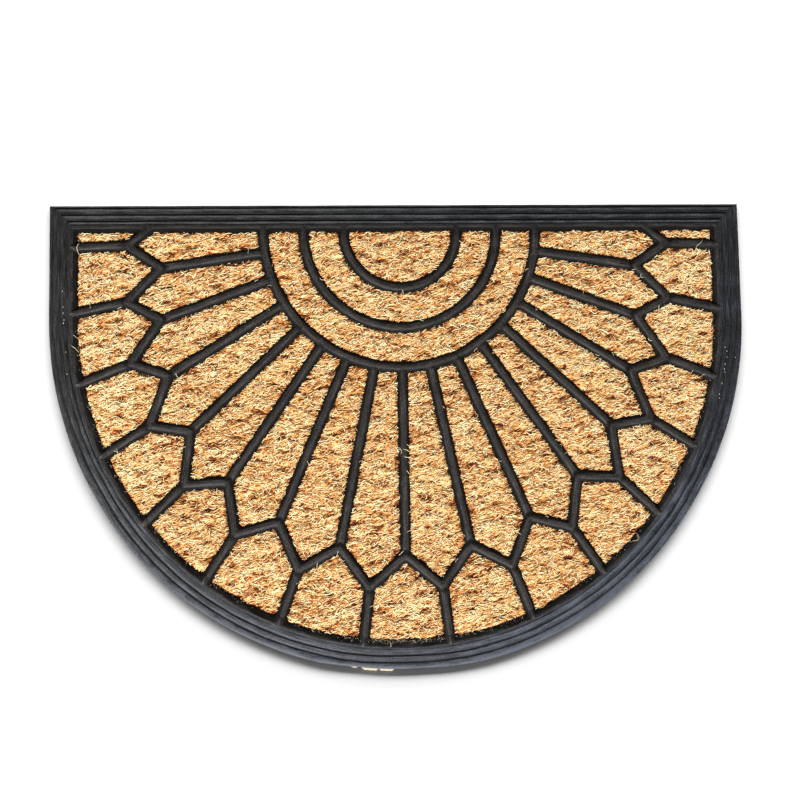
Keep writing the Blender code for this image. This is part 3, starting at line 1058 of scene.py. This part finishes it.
def coir_fibres(name, number, seed, lift, wild, steps, length, bend, pale, finish):
    """Loose fibres laid along the floats of the weave, slanting with the twist of its yarns."""
    chance = np.random.default_rng(seed)
    centre = scattered(int(number * SPARE_FIBRES), chance)
    centre = centre[weave(*centre.T)[0] > chance.uniform(0.0, BARE_VALLEY, len(centre))]
    x, y = centre.T
    rise, along, across, tilt, float_tone = weave(x, y)
    count = len(x)
    slant = tilt + TWIST - TWIST_OVER_FLOAT * np.clip(along, -1, 1) * np.clip(across, -1, 1)
    slant += chance.normal(0, TWIST_SPREAD, count)
    loose = chance.random(count) < wild
    slant = np.where(loose, chance.uniform(-1.5, 1.5, count), slant)
    long = chance.uniform(*length, count) * np.where(loose, WILD_SHORTER, 1.0)
    curl = chance.normal(0, bend, count) * np.where(loose, WILD_BENT, 1.0)
    wave = chance.normal(0, 0.2, count)
    share = np.linspace(-1, 1, steps)[None, :]
    turned = slant[:, None] + curl[:, None] * share + wave[:, None] * np.cos(2.6 * share)
    px, py = hair_paths(x, y, turned, long[:, None] / (steps - 1))
    ragged = RAGGED_EDGE * ripples(centre, RAGGED_RIPPLES, 62) - chance.exponential(0.0006, count)
    kept = past_flank(px, py).min(axis=1) > ragged
    kept &= np.cumsum(kept) <= number
    height = pad_height(px, py)
    height = 0.85 * height + 0.15 * height.max(axis=1, keepdims=True)
    radius = chance.uniform(*FIBRE_RADIUS, count)
    clear = rib_distance(px.ravel(), py.ravel()).reshape(px.shape).min(axis=1)
    raised = chance.uniform(*lift, count) * (1 + 1.2 * loose) * np.clip(clear / HELD_DOWN, 0.2, 1)
    hump = raised[:, None] * (1 - 0.75 * share ** 2) - TUCKED_ENDS * np.abs(share) ** 3
    path = np.stack([px, py, height + hump], axis=2)
    # Painted light and shade: paler on the floats' crests, towards the sides and on higher fibres, darker in
    # the valleys and on lower fibres.
    tone = pale + float_tone + HEIGHT_PAINTED_LIGHT * (np.clip(rise, 0, 1) - 0.6)
    tone += chance.normal(0, TONE_SPREAD, count)
    tone += MIDDLE_TONE + SIDE_PAINTED_LIGHT * smooth_step(np.abs(x), *SIDE_PAINTED_LIGHT_REACH)
    tone = np.where(chance.random(count) < DARK_FIBRES, tone - DARK_TONE, tone)
    tone += HEIGHT_PAINTED_LIGHT * (raised / MEAN_LIFT - 1)
    return strands(name, path[kept], radius[kept], np.clip(tone, 0, 1)[kept], finish)


def surface_height(x, y):
    """Height of whatever lies uppermost at points: rib, border or coir."""
    halves = [level[0] for level in RIB_SECTION[1:]][::-1]
    rises = [level[1] for level in RIB_SECTION[1:]][::-1]
    rib = np.interp(rib_distance(x, y), halves, rises, right=0.0)
    inset = inset_at(x, y)
    border = np.interp(inset, *zip(*BORDER_STEPS))
    return np.where(inset < BEAD_INSET, border, np.maximum(rib, pad_height(x, y)))


def stray_fibres(finish):
    """Single fibres on the rubber, bits in its creases and hairs over the edges of the ribs."""
    chance = np.random.default_rng(300)
    paths = []
    for places in STRAYS:
        places = np.array(places) / 1000
        run = np.concatenate([[0], np.cumsum(np.linalg.norm(np.diff(places, axis=0), axis=1))])
        at = np.linspace(0, run[-1], STRAY_STEPS)
        line = np.column_stack([np.interp(at, run, values) for values in places.T])
        for _ in range(2):
            line[1:-1] = (line[:-2] + 2 * line[1:-1] + line[2:]) / 4
        paths.append(line)
    for x, y, long in CAUGHT:
        along = np.linspace(-0.5, 0.5, STRAY_STEPS)[:, None] * long / 1000
        paths.append(np.array((x, y)) / 1000 + along * np.array((chance.normal(0, 0.4), 1.0)))
    share = np.linspace(-1, 1, STRAY_STEPS)
    for _ in range(LOOSE_HAIRS):
        place = chance.uniform(*HAIR_FIELD)
        while not RIB_EDGE[0] < rib_distance(*place) < RIB_EDGE[1] or past_flank(*place) < -0.001:
            place = chance.uniform(*HAIR_FIELD)
        turn = chance.uniform(0, 2 * math.pi) + chance.normal(0, 0.9) * share
        stride = chance.uniform(*HAIR_LENGTH) / (STRAY_STEPS - 1)
        paths.append(np.vstack(hair_paths(place[:1], place[1:], turn[None], stride)).T)
    flat = np.array(paths)
    height = surface_height(flat[..., 0], flat[..., 1])
    height = np.maximum(height, height.max(axis=1, keepdims=True) - 0.0012)
    path = np.dstack([flat, height + 0.0002])
    radius = chance.uniform(*HAIR_RADIUS, len(path))
    tone = chance.uniform(0.75, 1.0, len(path))
    return strands("stray_fibres", path, radius, tone, finish, 0.0)


def edge_fray(finish):
    """Short dusty hairs on the flank of the border's bead, thickest at the middle of the arc."""
    chance = np.random.default_rng(310)
    number = FRAY_HAIRS
    at_middle = np.arange(number) < FRAY_AT_MIDDLE
    spread = chance.normal(0, FRAY_SPREAD, number)
    angle = np.radians(np.where(at_middle, spread - 0.3, chance.uniform(-88, 88, number)))
    shift = np.interp(np.degrees(angle), BORDER_ANGLES, FLANK_SHIFTS) / 1000
    foot = BEAD_INSET + RIB_HALF_WIDTH + shift
    inset = foot + 0.0006 - np.abs(chance.normal(0, 0.0013, number))
    inset -= np.where(at_middle, chance.uniform(0, 0.0010, number), 0)
    radius = ARC_RADIUS - inset
    x, y = on_circle(radius, angle)
    share = np.linspace(-1, 1, FRAY_STEPS)[None, :]
    lean = chance.uniform(0, math.pi, number)[:, None]
    lean = lean + chance.normal(0, 0.6, number)[:, None] * share
    long = chance.uniform(*FRAY_LENGTH, number)[:, None]
    px, py = hair_paths(x, y, lean, long / (FRAY_STEPS - 1))
    from_foot = np.clip(foot[:, None] - (ARC_RADIUS - np.hypot(px, py - ARC_CENTRE.y)), 0, 0.003)
    height = 0.0056 + 0.9 * from_foot + chance.uniform(0.0002, 0.0007, number)[:, None]
    radius = chance.uniform(*FRAY_RADIUS, number)
    tone = chance.uniform(0.0, 1.0, number) ** 2
    return strands("edge_fray", np.dstack([px, py, height]), radius, tone, finish, 0.0)


def coir_slivers(finish):
    """Slivers of coir caught under the rim at the foot of the mat."""
    places, faces = [], []
    for start, end, out, thick in SLIVERS:
        count = len(places)
        turns = np.radians(np.linspace(start, end, SLIVER_STEPS))
        ragged = 0.0002 * np.sin(turns * 900) + 0.00015 * np.sin(turns * 410)
        for index, turn in enumerate(turns):
            ease = min(1, 0.45 + index / 4, 0.45 + (SLIVER_STEPS - 1 - index) / 4)
            near = ARC_RADIUS - 0.0004
            far = ARC_RADIUS + out / 1000 * ease + ragged[index]
            for radius, height in ((near, 0.0003), (far, 0.0003), (far, thick), (near, thick + 0.0004)):
                places.append((*on_circle(radius, turn), height))
        rings = np.arange(count, len(places)).reshape(-1, 4)
        add_strip(faces, rings)
    data = closed_mesh("coir_slivers", places, faces)
    set_attribute(data, "tone", np.full(len(places), 0.62))
    return new_object("coir_slivers", data, finish)


def new_material(name, specular, roughness=0.5):
    finish = bpy.data.materials.new(name)
    finish.use_nodes = True
    shader = finish.node_tree.nodes["Principled BSDF"].inputs
    shader["Specular IOR Level"].default_value = specular
    shader["Roughness"].default_value = roughness
    return finish, finish.node_tree, shader


def new_group(name, given, results):
    """An empty node group, with its inputs and outputs by name and kind."""
    tree = bpy.data.node_groups.new(name, "ShaderNodeTree")
    for way, sockets in (("INPUT", given), ("OUTPUT", results)):
        for label, kind in sockets.items():
            tree.interface.new_socket(label, in_out=way, socket_type=f"NodeSocket{kind}")
    inputs = tree.nodes.new("NodeGroupInput").outputs
    return tree, inputs, tree.nodes.new("NodeGroupOutput").inputs


def feed(tree, socket, value):
    """Link another node's output to a socket, or else set the socket's own value."""
    if isinstance(value, bpy.types.NodeSocket):
        tree.links.new(value, socket)
    else:
        socket.default_value = value


def node(tree, kind, **values):
    """A new node with its settings, and what its sockets are fed, by name."""
    made = tree.nodes.new(kind)
    for key, value in values.items():
        label = key.replace("_", " ")
        if label in made.inputs:
            feed(tree, made.inputs[label], value)
        else:
            setattr(made, key, value)
    return made


def worked_out(tree, operation, *values):
    """Result of a Math node."""
    made = node(tree, "ShaderNodeMath", operation=operation)
    for socket, value in zip(made.inputs, values):
        feed(tree, socket, value)
    return made.outputs[0]


def scaled(tree, value, factor, added):
    """A value times a factor, with a number or another value added."""
    return worked_out(tree, "MULTIPLY_ADD", value, factor, added)


def mixed(tree, kind, share, first, second, blend="MIX"):
    """Result of a Mix node for numbers (FLOAT), places (VECTOR) or colours (RGBA)."""
    made = node(tree, "ShaderNodeMix", data_type=kind, blend_type=blend)
    at = {"FLOAT": 0, "VECTOR": 1, "RGBA": 2}[kind]
    for index, value in ((0, share), (2 + 2 * at, first), (3 + 2 * at, second)):
        feed(tree, made.inputs[index], value)
    return made.outputs[at]


def ranged(tree, value, start, end, low, high):
    """A value's place from start to end, carried over to low and high."""
    ends = {"From_Min": start, "From_Max": end, "To_Min": low, "To_Max": high}
    return node(tree, "ShaderNodeMapRange", Value=value, **ends).outputs["Result"]


def noise(tree, place, scale, detail, roughness=0.5):
    values = {"Scale": scale, "Detail": detail, "Roughness": roughness}
    return node(tree, "ShaderNodeTexNoise", Vector=place, **values).outputs


def on_object(tree):
    return tree.nodes.new("ShaderNodeTexCoord").outputs["Object"]


def attribute(tree, name):
    return node(tree, "ShaderNodeAttribute", attribute_name=name).outputs["Fac"]


def ramp(tree, value, stops):
    made = node(tree, "ShaderNodeValToRGB", Fac=value)
    elements = made.color_ramp.elements
    while len(elements) < len(stops):
        elements.new(1.0)
    for element, (place, colour) in zip(elements, stops):
        element.position = place
        element.color = (*colour, 1.0)
    return made.outputs["Color"]


def bumped(tree, height, strength, distance):
    values = {"Strength": strength, "Distance": distance}
    return node(tree, "ShaderNodeBump", Height=height, **values).outputs["Normal"]


def fibre_colour_group():
    """Colour of coconut fibre from a tone, browner in patches, with fine flecks."""
    tree, given, result = new_group("fibre_colour", {"Tone": "Float"}, {"Colour": "Color"})
    place = on_object(tree)
    patches = scaled(tree, noise(tree, place, scale=30.0, detail=2.0)["Fac"], 0.05, -0.025)
    flecks = scaled(tree, noise(tree, place, scale=800.0, detail=2.0)["Fac"], 0.42, -0.21)
    both = worked_out(tree, "ADD", patches, flecks)
    tone = worked_out(tree, "ADD", given["Tone"], both)
    feed(tree, result["Colour"], ramp(tree, tone, FIBRE_COLOURS))
    return tree


def fibre_hue(tree, group, tone):
    return node(tree, "ShaderNodeGroup", node_tree=group, Tone=tone).outputs["Colour"]


def fibre_finish(group):
    """Loose coconut fibres."""
    finish, tree, shader = new_material("coir_fibre", specular=0.12, roughness=0.7)
    feed(tree, shader["Base Color"], fibre_hue(tree, group, attribute(tree, "tone")))
    return finish


def dusty_finish():
    """Dust and hairs held on the rubber: greyed fibre."""
    finish, tree, shader = new_material("dusty_hair", specular=0.2, roughness=0.85)
    feed(tree, shader["Base Color"], ramp(tree, attribute(tree, "tone"), DUST_COLOURS))
    return finish


def strand_group():
    """Strands laid side by side at one slant: a random tone for each and a rounded height."""
    results = {"Tone": "Float", "Height": "Float"}
    tree, given, result = new_group("laid_strands", {"Slant": "Vector"}, results)
    place = on_object(tree)
    bend = noise(tree, place, scale=110.0, detail=1.0)["Color"]
    bent = mixed(tree, "VECTOR", STRAND_BEND, place, bend)
    turned = node(tree, "ShaderNodeMapping", Vector=bent, Rotation=given["Slant"])
    drawn = node(tree, "ShaderNodeMapping", Vector=turned.outputs[0], Scale=STRAND_SCALE)
    cells = node(tree, "ShaderNodeTexVoronoi", voronoi_dimensions="2D", Scale=1.0)
    feed(tree, cells.inputs["Vector"], drawn.outputs[0])
    split = node(tree, "ShaderNodeSeparateColor", Color=cells.outputs["Color"])
    feed(tree, result["Tone"], split.outputs["Red"])
    feed(tree, result["Height"], ranged(tree, cells.outputs["Distance"], 0.0, 0.6, 1.0, 0.0))
    return tree


def panel_finish(group):
    """The spun coir below the loose fibres: crossing strands, with painted shade between the floats and at
    each strand's sides.
    """
    finish, tree, shader = new_material("coir_yarn", specular=0.2, roughness=0.85)
    strand = strand_group()
    ways = []
    for slant in STRAND_SLANTS:
        turn = (0, 0, math.radians(slant))
        ways.append(node(tree, "ShaderNodeGroup", node_tree=strand, Slant=turn).outputs)
    mask = noise(tree, on_object(tree), scale=320.0, detail=0.0)["Fac"]
    over = worked_out(tree, "GREATER_THAN", mask, CROSSED_ABOVE)
    tone = mixed(tree, "FLOAT", over, ways[0]["Tone"], ways[1]["Tone"])
    height = mixed(tree, "FLOAT", over, ways[0]["Height"], ways[1]["Height"])
    # Painted shade: darker in the weave's valleys and towards the sides of each strand, paler on the floats'
    # crests.
    lifted = scaled(tree, attribute(tree, "rise"), 0.40, scaled(tree, tone, 0.80, -0.60))
    hue = fibre_hue(tree, group, scaled(tree, height, 0.65, lifted))
    feed(tree, shader["Base Color"], hue)
    feed(tree, shader["Normal"], bumped(tree, height, strength=1.0, distance=0.0006))
    return finish


def rubber_finish():
    """Black rubber with a faint bloom, streaks along the border's steps, pale dust, and the painted light
    and shade of its tone attribute.
    """
    finish, tree, shader = new_material("rubber_bloom_and_painted_light", specular=0.13)
    place = on_object(tree)
    across, along = attribute(tree, "across"), attribute(tree, "along")
    # Tone with painted highlights on the crowns, steps and rim, and painted shade on the flanks and in the
    # creases and grooves.
    tone_and_painted_light = attribute(tree, "tone_and_painted_light")
    lane = node(tree, "ShaderNodeCombineXYZ", X=across, Y=along).outputs["Vector"]
    stretch = node(tree, "ShaderNodeMapping", Vector=lane, Scale=STREAK_SCALE)
    streaks = noise(tree, stretch.outputs["Vector"], scale=1.0, detail=3.0, roughness=0.6)["Fac"]
    clouds = noise(tree, place, scale=60.0, detail=4.0)["Fac"]
    grain = noise(tree, place, scale=620.0, detail=4.0, roughness=0.7)["Fac"]
    paleness = scaled(tree, grain, GRAIN_BLOOM, scaled(tree, clouds, CLOUD_BLOOM, BLOOM_START))
    shaded_tone = worked_out(tree, "ADD", scaled(tree, streaks, STREAK_BLOOM, paleness), tone_and_painted_light)
    shade = ramp(tree, shaded_tone, RUBBER_COLOURS)
    lean = node(tree, "ShaderNodeVectorMath", operation="DOT_PRODUCT")
    feed(tree, lean.inputs[0], place)
    feed(tree, lean.inputs[1], BLUE_LEAN)
    blue = ranged(tree, lean.outputs["Value"], *BLUE_REACH, 0.0, 1.0)
    on_ribs = ranged(tree, across, BORDER_LANES_END, RIB_LANE - 0.001, 0.0, 1.0)
    hues = mixed(tree, "RGBA", on_ribs, ramp(tree, blue, BORDER_TINTS), RIB_TINT)
    tint = mixed(tree, "RGBA", 1.0, shade, hues, "MULTIPLY")
    dusty = ranged(tree, noise(tree, place, scale=900.0, detail=2.0)["Fac"], 0.74, 0.80, 0.0, 0.5)
    feed(tree, shader["Base Color"], mixed(tree, "RGBA", dusty, tint, SPECK_COLOUR))
    rough = ranged(tree, clouds, 0.0, 1.0, 0.38, 0.70)
    matt = ranged(tree, tone_and_painted_light, 0.0, 0.4, 0.35, 0.0)
    feed(tree, shader["Roughness"], worked_out(tree, "ADD", rough, matt))
    relief = scaled(tree, grain, GRAIN_RELIEF, streaks)
    feed(tree, shader["Normal"], bumped(tree, relief, strength=0.35, distance=0.0003))
    return finish


def floor_finish():
    """A plain pale floor with a very faint mottle."""
    finish, tree, shader = new_material("pale_floor", specular=0.1, roughness=0.9)
    mottle = noise(tree, on_object(tree), scale=3.0, detail=2.0)["Fac"]
    feed(tree, shader["Base Color"], ramp(tree, mottle, FLOOR_COLOURS))
    return finish


def add_camera():
    """The photograph's eye: 0.86 m above the mat, a little left of its middle, turned slightly."""
    data = bpy.data.cameras.new("eye")
    data.lens = 45.0
    data.sensor_width = 36.0
    data.clip_start = 0.01
    built = bpy.data.objects.new("eye", data)
    bpy.context.scene.collection.objects.link(built)
    built.matrix_world = Matrix.Translation(EYE_PLACE) @ Matrix(EYE_TURN).to_4x4()
    bpy.context.scene.camera = built


def add_light(name, place, size, power, colour):
    """A light that faces the mat."""
    bpy.ops.object.light_add(type="AREA", location=place)
    lamp = bpy.context.object
    lamp.name = name
    lamp.data.shape = "RECTANGLE"
    lamp.data.size, lamp.data.size_y = size
    lamp.data.energy = power
    lamp.data.color = colour
    towards_mat = Vector() - Vector(place)
    lamp.rotation_euler = towards_mat.to_track_quat("-Z", "Y").to_euler()
    return lamp


def light_floor(lamp, floor, state):
    """Give a light to the floor alone (INCLUDE) or to all but the floor (EXCLUDE)."""
    lit = bpy.data.collections.new(lamp.name + "_floor")
    lit.objects.link(floor)
    lit.collection_objects[0].light_linking.link_state = state
    lamp.light_linking.receiver_collection = lit


def add_surroundings():
    """A plain pale floor and soft light.

    The mat is lit from its arc's side. The floor has a long low light of its own from behind,
    whose soft shadow the mat throws round its arc.
    """
    bpy.ops.object.select_all(action="DESELECT")
    bpy.ops.mesh.primitive_plane_add(size=6.0, location=(0, 0, -0.0002))
    floor = bpy.context.object
    floor.name = "floor"
    bpy.ops.object.transform_apply(location=True, rotation=False, scale=False)
    floor.data.materials.append(floor_finish())
    world = bpy.data.worlds.new("pale_room")
    bpy.context.scene.world = world
    world.use_nodes = True
    background = world.node_tree.nodes["Background"].inputs
    background["Color"].default_value = (1.0, 1.0, 1.0, 1.0)
    background["Strength"].default_value = ROOM_LIGHT
    light_floor(add_light("soft_light", *SOFT_LIGHT), floor, "EXCLUDE")
    light_floor(add_light("key_light", *KEY_LIGHT), floor, "EXCLUDE")
    light_floor(add_light("back_light", *BACK_LIGHT), floor, "INCLUDE")
    bpy.context.scene.view_settings.view_transform = "Standard"


def main():
    add_camera()
    add_surroundings()
    rubber = rubber_moulding(rubber_finish())
    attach(rubber, "root")
    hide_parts("rubber_moulding")
    group = fibre_colour_group()
    coir = woven_coir(panel_finish(group))
    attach(coir, "root")
    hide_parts("coir_panel")
    fibre = fibre_finish(group)
    layers = []
    for index, (number, low, high, steps, pale) in enumerate(FIBRE_LAYERS):
        layers.append(coir_fibres(
            f"coir_fibres_{index + 1}", number, 100 + index, (low, high),
            WILD_FIBRES, steps, FIBRE_LENGTH, FIBRE_BEND, pale, fibre,
        ))
    layers.append(coir_fibres(
        "coir_curls", 1500, 200, CURL_LIFT, WILD_CURLS, 6, CURL_LENGTH, CURL_BEND, 0.92, fibre,
    ))
    layers.append(stray_fibres(fibre))
    dusty = dusty_finish()
    layers.append(edge_fray(dusty))
    layers.append(coir_slivers(dusty))
    for piece in layers:
        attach(piece, "root")


main()
